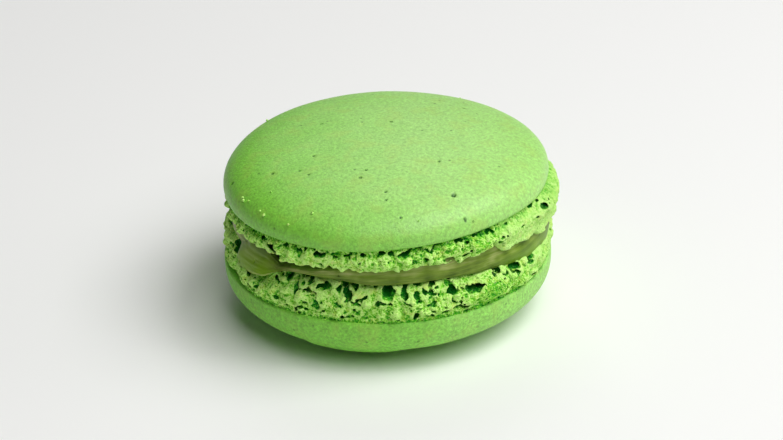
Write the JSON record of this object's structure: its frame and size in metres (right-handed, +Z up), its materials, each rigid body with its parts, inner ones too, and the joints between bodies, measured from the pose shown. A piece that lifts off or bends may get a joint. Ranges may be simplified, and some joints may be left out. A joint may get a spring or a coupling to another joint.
{
  "type": "french macaron",
  "caption": "Round sandwich biscuit of smooth domed almond meringue shells with crumbly ruffled feet, joined by a band of soft buttercream.",
  "frame": {"origin": "centre of the small flat spot on the underside, which the macaron rests on", "axes": "+Z up through the middle of both shells; -Y is the front, where the filling's band is widest in view; +X is the right, where the upper shell sits a little higher"},
  "size_m": [0.0463, 0.046, 0.025],
  "materials": {
    "shell": "matte green baked almond meringue, smooth dome and porous crumbly foot",
    "filling": "satin olive-green buttercream with faint drawn streaks"
  },
  "bodies": {
    "root": {"lower_shell": "shell", "filling": "filling", "upper_shell": "shell"}
  },
  "joints": []
}
